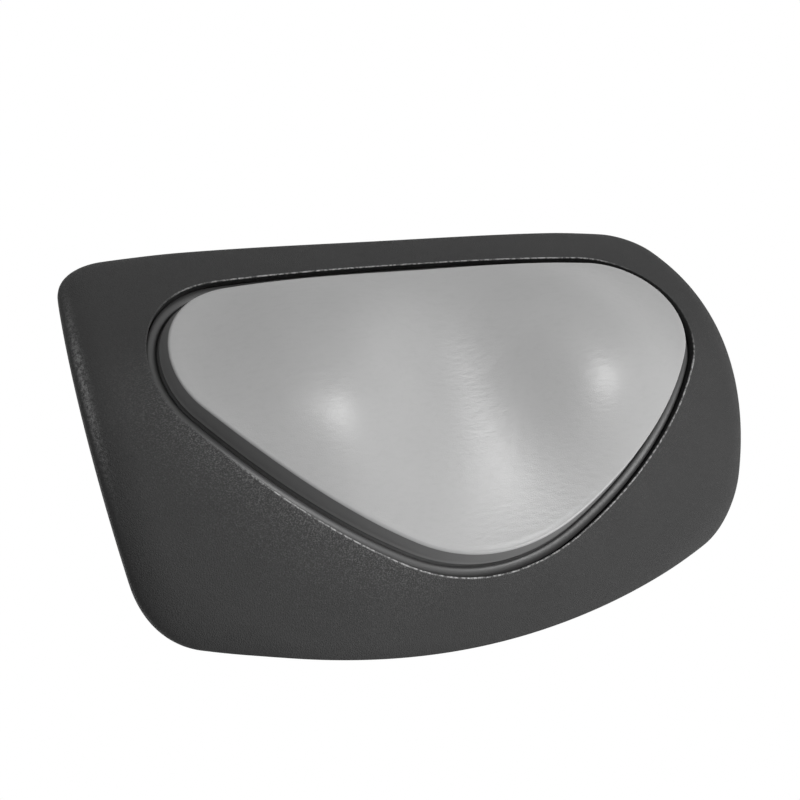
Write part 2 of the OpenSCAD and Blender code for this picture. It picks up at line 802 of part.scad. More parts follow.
module clamp_spindle() {
    color("#85898d") at_clamp() {
        rod_x(clamp_tip_d, spindle_x - clamp_tip_l, spindle_x);
        rod_x(spindle_d, spindle_x, knob_x + knob_bore_l - fit);
    }
}

module clamp_knob() {
    color("#222325") at_clamp() translate([knob_x, 0, 0]) rotate([0, 90, 0]) difference() {
        rotate_extrude() intersection() {
            translate([0, knob_t / 2]) round_rect(knob_d, knob_t, knob_round_r);
            square([knob_d, knob_t]);
        }
        for (k = [0:scallops - 1]) rotate(k * 360 / scallops)
            translate([knob_d / 2 + scallop_d / 4, 0, -cut]) cylinder(d = scallop_d, h = knob_t + 2 * cut);
        rod_z(spindle_d + 2 * fit, -cut, knob_bore_l);
    }
}

// Rail
module mount_rail() {
    color("#a5a8ab") difference() {
        union() {
            translate([-stem_w / 2, -stem_t - cut, -rail_l / 2]) cube([stem_w, stem_t + cut, rail_l]);
            translate([-rail_w / 2, -rail_t, -rail_l / 2]) cube([rail_w, rail_flange_t, rail_l]);
        }
        at_four(bolt_x / 2, bolt_z / 2) {
            rod_y(bolt_d, -rail_t - cut, cut);
            translate([0, -rail_t - cut, 0]) rotate([-90, 0, 0])
                cylinder(d1 = countersink_d + 2 * cut, d2 = bolt_d, h = (countersink_d - bolt_d) / 2 + cut);
        }
        for (j = [0, 1]) mirror([0, 0, j]) translate([0, cap_screw_y, 0])
            rod_z(cap_screw_d + 2 * fit, rail_l / 2 - cap_screw_l, rail_l / 2 + cut);
    }
}

module rail_end_caps() {
    w = rail_w + 2 * cap_lip;
    depth = cap_front - chair_gap;
    color("#232426") for (j = [0, 1]) mirror([0, 0, j]) difference() {
        translate([0, -chair_gap - depth / 2, rail_l / 2])
            linear_extrude(cap_t) round_rect(w, depth, cap_corner_r);
        translate([0, cap_screw_y, rail_l / 2]) rod_z(cap_screw_d + screw_clear, -cut, cap_t + cut);
    }
}

module cap_screws() {
    color("#74777b") for (j = [0, 1]) mirror([0, 0, j]) translate([0, cap_screw_y, rail_l / 2 + cap_t])
        rotate([180, 0, 0]) screw(cap_screw_d, cap_screw_l);
}

pad_surround();
cushion_insert();
welt_bead();
insert_tray();
push_nuts();
core_plate();
threaded_inserts();
rear_shell();
shell_screws();
hinge_bracket();
bracket_screws();
pivot_shaft();
friction_washers();
disc_springs();
lock_nut();
carriage();
glide_liners();
tilt_knuckle();
knuckle_screws();
knuckle_bushes();
nut_bush();
clamp_pad();
clamp_spindle();
clamp_knob();
mount_rail();
rail_end_caps();
cap_screws();
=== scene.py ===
import math

import bmesh
import bpy
import numpy as np
from mathutils import Matrix, Vector


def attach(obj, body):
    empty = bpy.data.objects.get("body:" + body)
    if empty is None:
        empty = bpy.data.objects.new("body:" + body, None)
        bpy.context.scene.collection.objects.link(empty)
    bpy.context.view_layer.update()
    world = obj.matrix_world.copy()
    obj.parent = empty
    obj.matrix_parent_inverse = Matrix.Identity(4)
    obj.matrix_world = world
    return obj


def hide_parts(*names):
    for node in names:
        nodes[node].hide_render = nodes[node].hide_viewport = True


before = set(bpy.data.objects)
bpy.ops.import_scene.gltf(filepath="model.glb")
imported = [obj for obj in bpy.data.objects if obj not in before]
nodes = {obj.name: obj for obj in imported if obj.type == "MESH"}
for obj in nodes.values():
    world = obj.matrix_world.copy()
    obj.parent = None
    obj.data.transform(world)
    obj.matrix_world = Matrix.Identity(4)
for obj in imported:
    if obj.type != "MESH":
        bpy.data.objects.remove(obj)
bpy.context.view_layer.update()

MM = 0.001

# Values repeated from part.scad; lengths in millimetres
HEAD_W, HEAD_TOP, HEAD_BOTTOM = 301, 91, 96
UPPER_CORNER_R, LOWER_CORNER_R, TOP_R = 23, 38, 5000
SIDE_R, SIDE_Z, BOTTOM_R = 300, 20, 345
BOW_R, END_DROP, END_POWER, CORNER_TWIST = 100, 13.5, 2.8, 14.5
ROLL_W, ROLL_T, EDGE_ROLL_W, EDGE_ROLL_T = 13, 7, 4.5, 3
FOAM_T, HEAD_T, EDGE_T, BORDER_W = 16, 31, 21.5, 13
SHELL_WALL, SEAT_GAP, SKIRT_W = 3, 0.4, 2.5
CORE_FRONT, CORE_BACK = 16.6, 19.6
CUSHION_W, CUSHION_TOP, CUSHION_BOTTOM = 237, 59.6, 66
CUSHION_TOP_R, SHOULDER_R, SLANT_R, TIP_R = 1400, 33.5, 205, 87
CUSHION_RISE, CUSHION_EDGE_R, DISH_H, EDGE_FADE = 3, 1, 14.6, 0.88
LOBE_H, LOBE_X, LOBE_RISE, LOBE_RX, LOBE_RZ = 17, 64.5, 14, 31, 47.5
LOBE_SLANT, LOBE_POWER = math.radians(22), 2.4
GROOVE_W, BEAD_W, BEAD_H, LIP_GAP, LEDGE_DEPTH = 2.5, 3.7, 1.8, 0.7, 6.2
TRAY_T = 2
LIP_R, LIP_DEPTH = 0.5, 0.6
FLARE_W, FLARE_DEPTH, FLARE_T = 1.7, 3.8, 1
FRONT_Y, PIVOT_Z = -100.7, -18
BRACKET_W, BRACKET_H, BRACKET_CORNER_R = 64, 44, 5
BRACKET_HOLE_X, BRACKET_HOLE_Z, BRACKET_SCREW_D = 24, 14, 5
SEAT_RISE, SEAT_MARGIN = 2.5, 3
SHELL_SCREW_TURNS, SHELL_SCREW_SHARE, SHELL_SCREW_D = (68, 112, 248, 292), 0.56, 3.5
SHELL_BOSS_D, SHELL_BOSS_L, SHELL_LEDGE_T = 10, 3, 1.5
SCREW_CLEAR, CUT = 0.5, 1
OPENING_W = GROOVE_W + BEAD_W + LIP_GAP
SHELL_INSET = BORDER_W + SEAT_GAP
SEAT_FRONT = HEAD_T - SHELL_WALL - 0.5

# Finer shapes of the meshes; lengths in millimetres
LIP_LAND = 0.3
HEM_R, SKIRT_SLOPE_IN, SKIRT_SLOPE_UP = 0.25, 0.4, 0.5
BEAD_SPREAD, BEAD_LEAN = 0.2, 0.38
SHELL_EDGE_R, SEAT_FILLET = 1.4, 1

# Where the foam's edge turns from tight to round, and how square the border behind it is
SIDE_FROM, SIDE_BLEND = 0.72, 0.2
END_CURVE, SIDE_CURVE = 1.15, 2.1

# Loops of the foam surround, from the opening's wall over the front and round the edge to the back
WALL_LOOPS, LIP_LOOPS, FRONT_LOOPS, ROLL_LOOPS, BORDER_LOOPS = 8, 6, 22, 15, 13
LIP_FIRST = WALL_LOOPS
ROLL_FIRST = WALL_LOOPS + LIP_LOOPS + FRONT_LOOPS
ROLL_ANGLES = np.linspace(0, 90, ROLL_LOOPS + 1)[1:]

# Loops of the cushion, from the middle of its front, and those that its side's material of painted shade
# covers
CROWN_LOOPS, EDGE_LOOPS, SKIRT_LOOPS, HEM_LOOPS = 59, 9, 8, 7
CROWN_SHARE = 0.965
SIDE_FIRST = CROWN_LOOPS + EDGE_LOOPS - 2
SIDE_LAST = CROWN_LOOPS + EDGE_LOOPS + SKIRT_LOOPS + HEM_LOOPS + 1


# Outlines made of arcs, clockwise from the top for the right half
def meet(a, ra, b, rb, side):
    """Point at distance ra from a and rb from b, on the left of the way from a to b where side is 1."""
    a, b = np.array(a, float), np.array(b, float)
    d = b - a
    length = np.hypot(*d)
    e = d / length
    t = (ra * ra - rb * rb + length * length) / (2 * length)
    return a + t * e + side * math.sqrt(ra * ra - t * t) * np.array([-e[1], e[0]])


def bearing(a, b):
    """Angle in degrees of the way from a to b."""
    return math.degrees(math.atan2(b[1] - a[1], b[0] - a[0]))


def make_head_arcs():
    top = (0, HEAD_TOP - TOP_R)
    side = (HEAD_W / 2 - SIDE_R, SIDE_Z)
    bottom = (0, BOTTOM_R - HEAD_BOTTOM)
    upper = meet(top, TOP_R - UPPER_CORNER_R, side, SIDE_R - UPPER_CORNER_R, -1)
    lower = meet(side, SIDE_R - LOWER_CORNER_R, bottom, BOTTOM_R - LOWER_CORNER_R, -1)
    return [
        (top, TOP_R, 90, bearing(top, upper)),
        (upper, UPPER_CORNER_R, bearing(top, upper), bearing(side, upper)),
        (side, SIDE_R, bearing(side, upper), bearing(side, lower)),
        (lower, LOWER_CORNER_R, bearing(side, lower), bearing(bottom, lower)),
        (bottom, BOTTOM_R, bearing(bottom, lower), -90),
    ]


def make_cushion_arcs():
    top = (0, CUSHION_TOP - CUSHION_TOP_R)
    sx = CUSHION_W / 2 - SHOULDER_R
    shoulder = (sx, top[1] + math.sqrt((CUSHION_TOP_R - SHOULDER_R) ** 2 - sx * sx))
    tip = (0, TIP_R - CUSHION_BOTTOM)
    slant = meet(tip, SLANT_R - TIP_R, shoulder, SLANT_R - SHOULDER_R, 1)
    return [
        (top, CUSHION_TOP_R, 90, bearing(top, shoulder)),
        (shoulder, SHOULDER_R, bearing(top, shoulder), bearing(slant, shoulder)),
        (slant, SLANT_R, bearing(slant, shoulder), bearing(slant, tip)),
        (tip, TIP_R, bearing(slant, tip), -90),
    ]


def arc_points(arc, out, n):
    """Points of an arc that is moved outward, without its last point."""
    centre, r, a0, a1 = arc
    a = np.radians(a0 + (a1 - a0) * np.arange(n) / n)
    return np.c_[centre[0] + (r + out) * np.cos(a), centre[1] + (r + out) * np.sin(a)]


HEAD_ARCS, CUSHION_ARCS = make_head_arcs(), make_cushion_arcs()


def compass(points):
    """Turns in degrees, clockwise from straight up."""
    return np.degrees(np.arctan2(points[:, 0], points[:, 1]))


# Directions of the lofts' points, close at the corners of both outlines
ARC_STEPS, SHOULDER_STEPS, LEAST_TURN = (34, 26, 60, 26, 44), 40, 0.3


def make_turns():
    right = [compass(arc_points(arc, 0, n)) for arc, n in zip(HEAD_ARCS, ARC_STEPS)]
    right += [compass(arc_points(CUSHION_ARCS[1], 0, SHOULDER_STEPS))]
    right = np.unique(np.round(np.concatenate(right), 3))
    keep = [right[0]]
    for t in right[1:]:
        if t - keep[-1] > LEAST_TURN:
            keep.append(t)
    right = np.array(keep)
    return np.concatenate([right, [180.0], 360 - right[:0:-1]])


TURNS = make_turns()
SIN, COS = np.sin(np.radians(TURNS)), np.cos(np.radians(TURNS))


def radii(arcs, out, turns=TURNS, steps=160):
    """Distance of an outline, moved outward, from the middle, in each direction."""
    points = [arc_points(arc, out, steps) for arc in arcs]
    centre, r = arcs[-1][0], arcs[-1][1]
    points.append(np.array([[0, centre[1] - r - out]]))
    points = np.vstack(points)
    angles = compass(points)
    angles[-1] = 180
    return np.interp(np.minimum(turns, 360 - turns), angles, np.hypot(points[:, 0], points[:, 1]))


def front_depth(x, z):
    """Depth of the bowed front face behind its middle."""
    u, v = 2 * np.abs(x) / HEAD_W, 2 * z / HEAD_W
    return z * z / (2 * BOW_R) + END_DROP * u**END_POWER - CORNER_TWIST * u * u * v


def loop(r, depth):
    """Loop of points at a depth behind the bowed front."""
    x, z = r * SIN, r * COS
    return np.c_[x, front_depth(x, z) + depth, z]


# Meshes are lofted in the head's frame, in millimetres
def to_frame(points):
    return (np.asarray(points, float) + (0, FRONT_Y, PIVOT_Z)) * MM


def link(name, mesh, body):
    obj = bpy.data.objects.new(name, mesh)
    bpy.context.scene.collection.objects.link(obj)
    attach(obj, body)
    return obj


def strip(a, b, n):
    """Faces between two loops of n points that start at a and b."""
    return [(a + i, b + i, b + (i + 1) % n, a + (i + 1) % n) for i in range(n)]


def mesh_from(name, points, faces):
    mesh = bpy.data.meshes.new(name)
    mesh.from_pydata([tuple(p) for p in to_frame(points)], [], faces)
    mesh.validate()
    mesh.shade_smooth()
    return mesh


def ring_mesh(name, loops):
    """Ring whose last loop joins the first."""
    n, m = len(loops[0]), len(loops)
    faces = [f[::-1] for k in range(m) for f in strip(k * n, (k + 1) % m * n, n)]
    return mesh_from(name, np.vstack(loops), faces)


def dish_mesh(name, front, loops, back):
    """Closed form from a front point over its loops to a back point."""
    n, m = len(loops[0]), len(loops)
    last = 1 + m * n
    faces = [(0, 1 + (i + 1) % n, 1 + i) for i in range(n)]
    faces += [f[::-1] for k in range(m - 1) for f in strip(1 + k * n, 1 + (k + 1) * n, n)]
    faces += [(last, last - n + i, last - n + (i + 1) % n) for i in range(n)]
    return mesh_from(name, np.vstack([[front], *loops, [back]]), faces)


# Foam surround: lip, front, edge (round at the sides, tight elsewhere) and the border behind it
def ease(t):
    """Smooth step from 0 to 1."""
    t = np.clip(t, 0, 1)
    return t * t * (3 - 2 * t)


SIDE_SHARE = ease((np.abs(SIN) - SIDE_FROM) / SIDE_BLEND)


def between(ends, sides):
    """Value at the top and bottom, blended into that at the sides."""
    return ends * (1 - SIDE_SHARE) + sides * SIDE_SHARE


def rim_loop(ends, sides):
    """Loop near the head's outline, from (inset, depth) pairs."""
    r = between(radii(HEAD_ARCS, -ends[0]), radii(HEAD_ARCS, -sides[0]))
    return loop(r, between(ends[1], sides[1]))


def quarter(a, power):
    """Inset and depth, as shares, along a quarter of a rounded or squared curve."""
    return 1 - math.cos(a) ** power, math.sin(a) ** power


def surround_loops():
    wall = radii(CUSHION_ARCS, OPENING_W)
    lip = radii(CUSHION_ARCS, OPENING_W + LIP_R + LIP_LAND)
    plain = between(radii(HEAD_ARCS, -EDGE_ROLL_W), radii(HEAD_ARCS, -ROLL_W))
    rear = radii(HEAD_ARCS, -BORDER_W)
    loops = [loop(wall, d) for d in np.linspace(FOAM_T, LIP_DEPTH, WALL_LOOPS)]
    for a in np.radians(np.linspace(15, 90, LIP_LOOPS)):
        r = radii(CUSHION_ARCS, OPENING_W + LIP_R * (1 - math.cos(a)))
        loops.append(loop(r, LIP_DEPTH * (1 - math.sin(a))))
    for f in np.linspace(0, 1, FRONT_LOOPS):
        loops.append(loop(lip * (1 - f) + plain * f, 0))
    for a in np.radians(ROLL_ANGLES):
        inset, depth = 1 - math.sin(a), 1 - math.cos(a)
        ends = EDGE_ROLL_W * inset, EDGE_ROLL_T * depth
        sides = ROLL_W * inset, ROLL_T * depth
        loops.append(rim_loop(ends, sides))
    for a in np.radians(np.linspace(0, 90, BORDER_LOOPS + 1)[1:]):
        inset, depth = quarter(a, 2 / END_CURVE)
        ends = BORDER_W * inset, EDGE_ROLL_T + (EDGE_T - EDGE_ROLL_T) * depth
        inset, depth = quarter(a, 2 / SIDE_CURVE)
        sides = BORDER_W * inset, ROLL_T + (EDGE_T - ROLL_T) * depth
        loops.append(rim_loop(ends, sides))
    loops += [loop(rear, d) for d in np.linspace(EDGE_T, FOAM_T, 5)[1:]]
    loops += [loop(rear * (1 - f) + wall * f, FOAM_T) for f in np.linspace(0, 1, 8)[1:-1]]
    return loops


def add_values(obj, name, values):
    """Stores one number for each point of a mesh."""
    obj.data.attributes.new(name, "FLOAT", "POINT").data.foreach_set("value", np.ravel(values))


# Painted highlight along the lip, painted sparkle flecks below the opening, mostly on the left, and a
# painted highlight strip on each side's roll
SPARKLE_REACH, SPARKLE_LEVEL = 12, 0.75
# Place and size of the painted highlight strip on each side's roll
SIDE_HIGHLIGHT_ANGLE, SIDE_HIGHLIGHT_SPREAD = 60, 10
SIDE_HIGHLIGHT_Z, SIDE_HIGHLIGHT_HALF = 26, 31
SIDE_HIGHLIGHT_SPARKLE, SIDE_HIGHLIGHT_LEVEL = 1.5, 0.42


def lip_painted_highlight():
    """Painted highlight along the lip's crest, with nearly none at its two sides."""
    at_side = ease((np.abs(SIN) - 0.8) / 0.12)
    above = ease((COS + 0.34 - 0.3 * ease(SIN / 0.5)) / 0.2)
    return 1 - 0.95 * at_side * above


def painted_sparkle_near_opening(loops):
    """Painted sparkle flecks that fade outward from the opening, strongest below it and on the left."""
    reach = np.array([np.hypot(p[:, 0], p[:, 2]) for p in loops]) - radii(CUSHION_ARCS, OPENING_W)
    low = ease((0.35 - COS) / 0.5)
    left = 0.2 + 0.8 * ease((-SIN - 0.15) / 0.5)
    return SPARKLE_LEVEL * np.exp(-np.maximum(reach, 0) / SPARKLE_REACH) * low * left


def surround_values(loops):
    """Painted highlight and painted sparkle of each point, loop by loop."""
    painted_highlight, painted_sparkle = np.zeros((len(loops), len(TURNS))), painted_sparkle_near_opening(loops)
    # The lip's crest is lightened in colour, a painted highlight
    painted_highlight[LIP_FIRST:LIP_FIRST + LIP_LOOPS] = lip_painted_highlight()
    # Each side's roll gets a lightened, flecked strip, a painted highlight
    for k, angle in enumerate(ROLL_ANGLES, ROLL_FIRST):
        height = loops[k][:, 2]
        off = ((angle - SIDE_HIGHLIGHT_ANGLE) / SIDE_HIGHLIGHT_SPREAD) ** 2 + ((height - SIDE_HIGHLIGHT_Z) / SIDE_HIGHLIGHT_HALF) ** 2
        side_highlight = SIDE_SHARE * np.exp(-off)
        painted_sparkle[k] += SIDE_HIGHLIGHT_SPARKLE * side_highlight
        painted_highlight[k] = SIDE_HIGHLIGHT_LEVEL * side_highlight
    return painted_highlight, painted_sparkle


loops = surround_loops()
surround = link("foam_surround", ring_mesh("foam_surround", loops), "head")
for name, values in zip(("painted_highlight", "painted_sparkle"), surround_values(loops)):
    add_values(surround, name, values)
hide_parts("pad_surround")


# Cushion: dished front with two lobes, crisp edge and a side that flares to a thin skirt
def lobe(u, v):
    """Height of a slanted mound at u, v from its middle, as a share."""
    a = u * math.cos(LOBE_SLANT) + v * math.sin(LOBE_SLANT)
    b = v * math.cos(LOBE_SLANT) - u * math.sin(LOBE_SLANT)
    return np.exp(-(np.abs(a / LOBE_RX) ** LOBE_POWER + np.abs(b / LOBE_RZ) ** LOBE_POWER) / 2)


def relief(x, z):
    return LOBE_H * (lobe(x - LOBE_X, z - LOBE_RISE) + lobe(-x - LOBE_X, z - LOBE_RISE))


def cushion_height(x, z, share):
    """Height above the bowed front, where share runs from 0 in the middle to 1 at the edge."""
    fade = 1 - EDGE_FADE * share**4
    return CUSHION_RISE - DISH_H * (1 - share**2) + relief(x, z) * fade


def cushion_loop(share):
    r = radii(CUSHION_ARCS, 0) * share
    x, z = r * SIN, r * COS
    return np.c_[x, front_depth(x, z) - cushion_height(x, z, share), z]


def edge_loop(turn):
    """Loop of the rounded edge, turned from the front at 0 to the side."""
    r = radii(CUSHION_ARCS, CUSHION_EDGE_R * (math.sin(turn) - 1))
    x, z = r * SIN, r * COS
    sink = CUSHION_EDGE_R * (1 - math.cos(turn)) - cushion_height(x, z, 1)
    return np.c_[x, front_depth(x, z) + sink, z]


def cushion_loops():
    edge = radii(CUSHION_ARCS, 0)
    back = FOAM_T - TRAY_T - SEAT_GAP
    loops = [cushion_loop(s) for s in np.linspace(0, CROWN_SHARE, CROWN_LOOPS + 1)[1:]]
    loops += [edge_loop(a) for a in np.radians(np.linspace(0, 90, EDGE_LOOPS))]
    top = loops[-1]
    skirt = loop(radii(CUSHION_ARCS, FLARE_W - SKIRT_SLOPE_IN), FLARE_DEPTH - SKIRT_SLOPE_UP)
    loops += [top * (1 - f) + skirt * f for f in np.linspace(0, 1, SKIRT_LOOPS + 1)[1:]]
    for a in np.radians(np.linspace(-40, 90, HEM_LOOPS)):
        out = radii(CUSHION_ARCS, FLARE_W - HEM_R * (1 - math.cos(a)))
        loops.append(loop(out, FLARE_DEPTH + HEM_R * math.sin(a)))
    loops += [loop(edge, d) for d in np.linspace(FLARE_DEPTH + FLARE_T, back, 4)]
    loops += [loop(edge * s, back) for s in (0.75, 0.5, 0.25)]
    return loops, back


loops, back = cushion_loops()
crown = (0, -cushion_height(0, 0, 0), 0)
cushion = link("cushion", dish_mesh("cushion", crown, loops, (0, back, 0)), "head")
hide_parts("cushion_insert")


# Bead in the groove, a flat welt whose outer side stands higher
def bead_loops(sides=32):
    mid, depth = GROOVE_W + BEAD_W / 2, LEDGE_DEPTH - SEAT_GAP - BEAD_H / 2
    half_w, half_h = BEAD_W / 2 + BEAD_SPREAD, BEAD_H / 2
    loops = []
    for k in range(sides):
        a = -2 * math.pi * k / sides
        out = -half_w * math.cos(a)
        sink = half_h * math.sin(a) - BEAD_LEAN * out
        loops.append(loop(radii(CUSHION_ARCS, mid + out), depth + sink))
    return loops


bead = link("groove_bead", ring_mesh("groove_bead", bead_loops()), "head")
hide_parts("welt_bead")


# Rear shell with its bracket seat and screw recesses; how far its inside, back and edge reach, as shares
INNER_SHARE, OUTER_SHARE, EDGE_SHARE = 0.75, 0.93, 0.975


def shell_depth(share):
    """Depth of the shell's back, where share runs from 0 in the middle to 1 at its edge."""
    return HEAD_T - (HEAD_T - EDGE_T) * share * share


def shell_loops():
    """Loops from the middle of the inside round the edge to the middle of the back."""
    r = radii(HEAD_ARCS, -SHELL_INSET)
    skirt = radii(HEAD_ARCS, -SHELL_INSET - SKIRT_W)
    inner = np.linspace(0, INNER_SHARE, 10)[1:]
    outer = np.linspace(0, OUTER_SHARE, 22)[1:]
    loops = [loop(r * s, shell_depth(s) - SHELL_WALL) for s in inner]
    loops += [loop(skirt, d) for d in (CORE_BACK + SEAT_GAP, CORE_FRONT)]
    loops += [loop(r, d) for d in np.linspace(CORE_FRONT, EDGE_T - SHELL_EDGE_R, 4)]
    for a in np.radians((20, 45, 70)):
        inset = SHELL_INSET + SHELL_EDGE_R * (1 - math.cos(a))
        loops.append(loop(radii(HEAD_ARCS, -inset), EDGE_T - SHELL_EDGE_R * (1 - math.sin(a))))
    loops += [loop(r * s, shell_depth(s)) for s in (EDGE_SHARE, *outer[::-1])]
    return loops


# A boss and the hole through it have different numbers of sides, so that their edges don't coincide
BOSS_SIDES, HOLE_SIDES, RECESS_L = 48, 37, 14


def turned(name, profile, x, z, sides=BOSS_SIDES):
    """Solid turned about the head's depth axis through x, z; profile holds (radius, depth) pairs."""
    a = np.linspace(0, 2 * math.pi, sides, endpoint=False) + 1 / sides
    loops = [np.stack([x + r * np.sin(a), np.full(sides, y), z + r * np.cos(a)], 1) for r, y in profile]
    return dish_mesh(name, (x, profile[0][1], z), loops, (x, profile[-1][1], z))


def seat_mesh(name):
    """Raised pad for the bracket, with round corners and a rounded rim."""
    w, h = BRACKET_W / 2 + SEAT_MARGIN, BRACKET_H / 2 + SEAT_MARGIN
    r = BRACKET_CORNER_R + SEAT_MARGIN
    end = HEAD_T + SEAT_RISE
    outline = []
    for sx, sz, a0 in ((1, 1, 0), (-1, 1, 90), (-1, -1, 180), (1, -1, 270)):
        for a in np.radians(np.linspace(a0, a0 + 90, 12)):
            outline.append((sx * (w - r), sz * (h - r), math.cos(a), math.sin(a)))
    section = [(0, SEAT_FRONT), (0, end - SEAT_FILLET)]
    for a in np.radians((25, 50, 75, 90)):
        section.append((SEAT_FILLET * (1 - math.cos(a)), end - SEAT_FILLET * (1 - math.sin(a))))
    loops = []
    for inset, y in section:
        loops.append([(cx + (r - inset) * c, y, cz + (r - inset) * s) for cx, cz, c, s in outline])
    n, m = len(outline), len(loops)
    faces = [f[::-1] for k in range(m - 1) for f in strip(k * n, (k + 1) * n, n)]
    faces += [tuple(range(n)), tuple(range((m - 1) * n, m * n))[::-1]]
    return mesh_from(name, np.vstack(loops), faces)


def outward(mesh):
    """Splits a mesh into triangles that all face outward."""
    bm = bmesh.new()
    bm.from_mesh(mesh)
    bmesh.ops.triangulate(bm, faces=bm.faces)
    bmesh.ops.recalc_face_normals(bm, faces=bm.faces)
    bm.to_mesh(mesh)
    bm.free()
    return mesh


def boolean(obj, mesh, operation):
    """Joins a mesh to an object, or cuts it out of it, for good."""
    tool = bpy.data.objects.new("tool", outward(mesh))
    bpy.context.scene.collection.objects.link(tool)
    mod = obj.modifiers.new("cut", "BOOLEAN")
    mod.object, mod.operation, mod.solver = tool, operation, "EXACT"
    dg = bpy.context.evaluated_depsgraph_get()
    result = bpy.data.meshes.new_from_object(obj.evaluated_get(dg))
    obj.modifiers.clear()
    obj.data = outward(result)
    bpy.data.objects.remove(tool)


def shell_screw_places():
    """Each screw's x, the front's depth there, and z."""
    turns = np.array(SHELL_SCREW_TURNS, float)
    r = SHELL_SCREW_SHARE * radii(HEAD_ARCS, -SHELL_INSET, turns)
    x, z = r * np.sin(np.radians(turns)), r * np.cos(np.radians(turns))
    return [(a, front_depth(a, b), b) for a, b in zip(x, z)]


def smooth_by_angle(obj, degrees):
    obj.data.shade_smooth()
    bm = bmesh.new()
    bm.from_mesh(obj.data)
    limit = math.radians(degrees)
    for e in bm.edges:
        e.smooth = len(e.link_faces) == 2 and e.calc_face_angle(0) < limit
    bm.to_mesh(obj.data)
    bm.free()


shell_mesh = dish_mesh("back_shell", (0, HEAD_T - SHELL_WALL, 0), shell_loops(), (0, HEAD_T, 0))
shell = link("back_shell", outward(shell_mesh), "head")
boolean(shell, seat_mesh("seat"), "UNION")
boss_depth = shell_depth(SHELL_SCREW_SHARE) - SHELL_WALL - SHELL_BOSS_L
boss_r = SHELL_BOSS_D / 2
hole_r = (SHELL_SCREW_D + SCREW_CLEAR) / 2
head_r = SHELL_SCREW_D + SCREW_CLEAR / 2
for x, d, z in shell_screw_places():
    start = d + boss_depth
    ledge = start + SHELL_LEDGE_T
    boss = [(boss_r, start), (boss_r, start + SHELL_BOSS_L + CUT)]
    boolean(shell, turned("boss", boss, x, z), "UNION")
    hole = [(hole_r, start - CUT), (hole_r, ledge), (head_r, ledge), (head_r, start + RECESS_L)]
    boolean(shell, turned("hole", hole, x, z, HOLE_SIDES), "DIFFERENCE")
bracket_r = (BRACKET_SCREW_D + SCREW_CLEAR) / 2
hole = [(bracket_r, CORE_BACK + SEAT_GAP), (bracket_r, HEAD_T + SEAT_RISE + CUT)]
for x in (-BRACKET_HOLE_X, BRACKET_HOLE_X):
    for z in (-BRACKET_HOLE_Z, BRACKET_HOLE_Z):
        boolean(shell, turned("hole", hole, x, z), "DIFFERENCE")
smooth_by_angle(shell, 30)
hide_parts("rear_shell")


# Materials
class Nodes:
    """A new material with its shader, and helpers that add nodes."""

    def __init__(self, name):
        self.mat = bpy.data.materials.new(name)
        self.mat.use_nodes = True
        self.tree = self.mat.node_tree
        self.shader = self.tree.nodes["Principled BSDF"]
        self.place = self.add("ShaderNodeTexCoord").outputs["Object"]

    def add(self, kind, **values):
        node = self.tree.nodes.new(kind)
        for key, value in values.items():
            if key in node.inputs:
                self.put(node.inputs[key], value)
            else:
                setattr(node, key, value)
        return node

    def put(self, socket, value):
        if isinstance(value, bpy.types.NodeSocket):
            self.tree.links.new(value, socket)
        else:
            socket.default_value = value

    def set(self, **values):
        for key, value in values.items():
            self.put(self.shader.inputs[key.replace("_", " ")], value)

    def stretch(self, scale):
        return self.add("ShaderNodeMapping", Vector=self.place, Scale=scale).outputs["Vector"]

    def noise(self, scale, detail=3, vector=None, roughness=0.5):
        node = self.add("ShaderNodeTexNoise", Vector=vector or self.place, Scale=scale, Detail=detail)
        node.inputs["Roughness"].default_value = roughness
        return node.outputs["Fac"]

    def cells(self, scale, feature="F1"):
        node = self.add("ShaderNodeTexVoronoi", feature=feature)
        self.put(node.inputs["Vector"], self.place)
        node.inputs["Scale"].default_value = scale
        return node.outputs["Distance"]

    def span(self, value, low, high, a=0, b=1):
        """Maps values from a to b onto low to high."""
        node = self.add("ShaderNodeMapRange", Value=value)
        for key, v in zip(("From Min", "From Max", "To Min", "To Max"), (a, b, low, high)):
            node.inputs[key].default_value = v
        return node.outputs["Result"]

    def mix(self, factor, a, b):
        node = self.add("ShaderNodeMix", data_type="RGBA")
        self.put(node.inputs[0], factor)
        self.put(node.inputs[6], (*a, 1) if isinstance(a, tuple) else a)
        self.put(node.inputs[7], (*b, 1) if isinstance(b, tuple) else b)
        return node.outputs[2]

    def math(self, operation, a, b):
        node = self.add("ShaderNodeMath", operation=operation)
        self.put(node.inputs[0], a)
        self.put(node.inputs[1], b)
        return node.outputs[0]

    def bump(self, height, depth):
        """Bump whose depth is in millimetres."""
        node = self.add("ShaderNodeBump", Height=height, Distance=depth * MM, Strength=1.0)
        return node.outputs["Normal"]

    def value(self, name):
        """Number that a mesh holds for each point."""
        return self.add("ShaderNodeAttribute", attribute_name=name).outputs["Fac"]


def grey(v):
    """Linear grey of an sRGB level from 0 to 255."""
    c = v / 255
    return (c / 12.92,) * 3 if c <= 0.04045 else (((c + 0.055) / 1.055) ** 2.4,) * 3


